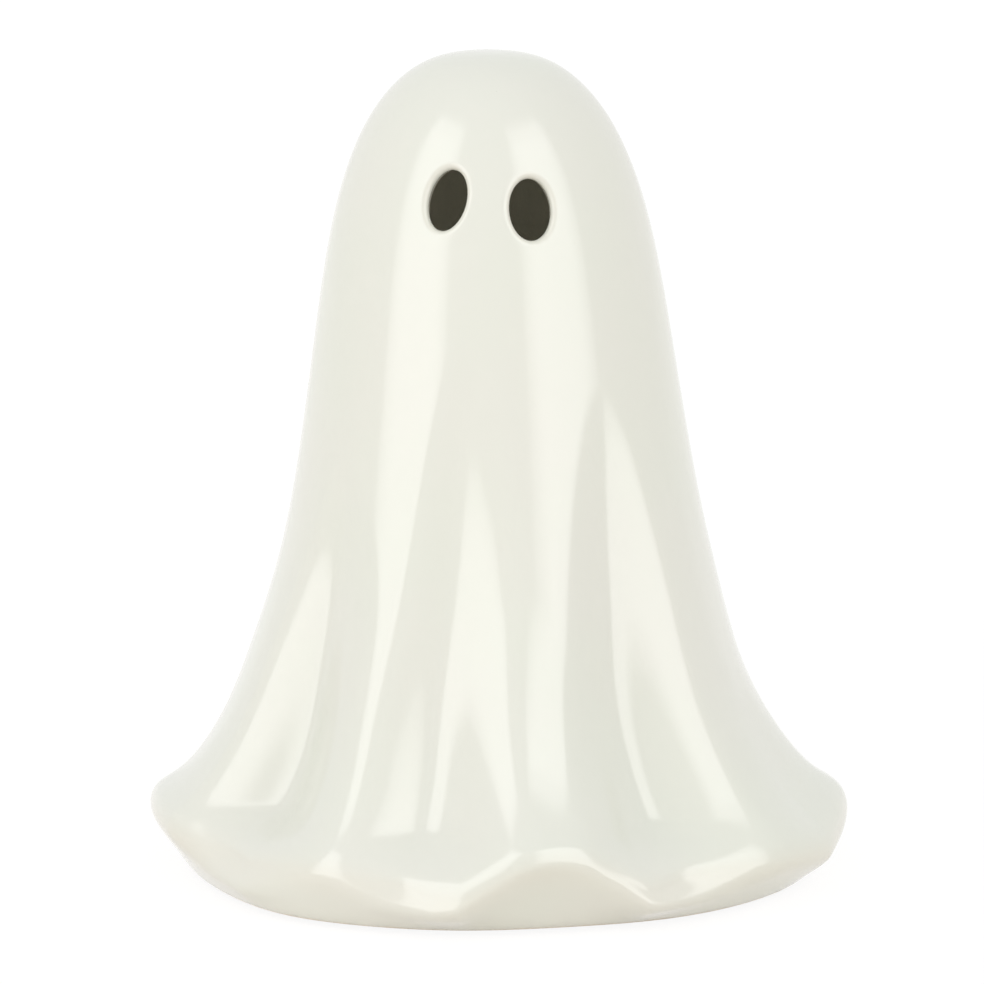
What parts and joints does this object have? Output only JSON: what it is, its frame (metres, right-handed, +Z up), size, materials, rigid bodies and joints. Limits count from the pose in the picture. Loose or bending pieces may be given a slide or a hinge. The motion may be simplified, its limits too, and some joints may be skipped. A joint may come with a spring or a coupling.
{
  "type": "ceramic ghost light-up figure",
  "caption": "Hollow glazed ceramic ghost in a draped sheet with cut-out eyes, lit from inside by a battery lamp unit in its base.",
  "frame": {"origin": "on the table under the middle of the figure", "axes": "+Z up through the head, the face looks along -Y, +X is to the right of someone who looks at the face"},
  "size_m": [0.1427, 0.1383, 0.1665],
  "materials": {
    "glaze": "off-white gloss glaze over cast earthenware",
    "pad_foam": "beige self-adhesive foam",
    "glue": "cured clear-white silicone",
    "tray_plastic": "fine moulded texture, white",
    "cover_plastic": "moulded, white",
    "frosted_plastic": "frosted translucent",
    "lamp_resin": "clear warm resin",
    "tinned_wire": "tinned",
    "board_laminate": "green solder mask",
    "resistor_paint": "beige lacquer with colour rings",
    "switch_steel": "pressed sheet",
    "pin_brass": "tarnished",
    "knob_plastic": "black",
    "contact_nickel": "nickel plated sheet and wire",
    "cell_jacket": "plain dark jacket, no lettering",
    "wire_red": "red insulation",
    "wire_black": "black insulation",
    "screw_steel": "zinc plated",
    "keeper_plastic": "black nylon"
  },
  "bodies": {
    "figure": {"ghost_shell": "glaze", "foot_pads": "pad_foam", "glue_bead": "glue", "base_tray": "tray_plastic", "unit_cover": "cover_plastic", "cover_screws": "screw_steel", "lamp_cap": "frosted_plastic", "led_lamp": "lamp_resin", "led_leads": "tinned_wire", "circuit_board": "board_laminate", "resistor": "resistor_paint", "switch_case": "switch_steel", "switch_pins": "pin_brass", "positive_terminal": "contact_nickel", "negative_terminal": "contact_nickel", "cell_bridges": "contact_nickel", "contact_spring_1": "contact_nickel", "contact_spring_2": "contact_nickel", "contact_spring_3": "contact_nickel", "battery_1": "cell_jacket", "battery_2": "cell_jacket", "battery_3": "cell_jacket", "lead_red": "wire_red", "lead_black": "wire_black", "lead_switch": "wire_black"},
    "door": {"battery_door": "tray_plastic"},
    "screw": {"door_screw": "screw_steel", "screw_keeper": "keeper_plastic"},
    "knob": {"switch_knob": "knob_plastic"}
  },
  "joints": [
    {"name": "door_hinge", "type": "hinge", "parent": "figure", "child": "door", "pos_m": [0, -0.0255, 0.0037], "axis": [-1, 0, 0], "range_deg": [0, 85]},
    {"name": "screw_turn", "type": "hinge", "parent": "door", "child": "screw", "pos_m": [0, 0.0312, 0.0037], "axis": [0, 0, 1], "continuous": true},
    {"name": "switch_slide", "type": "slide", "parent": "figure", "child": "knob", "axis": [0, 1, 0], "range_m": [0, 0.0025]}
  ]
}
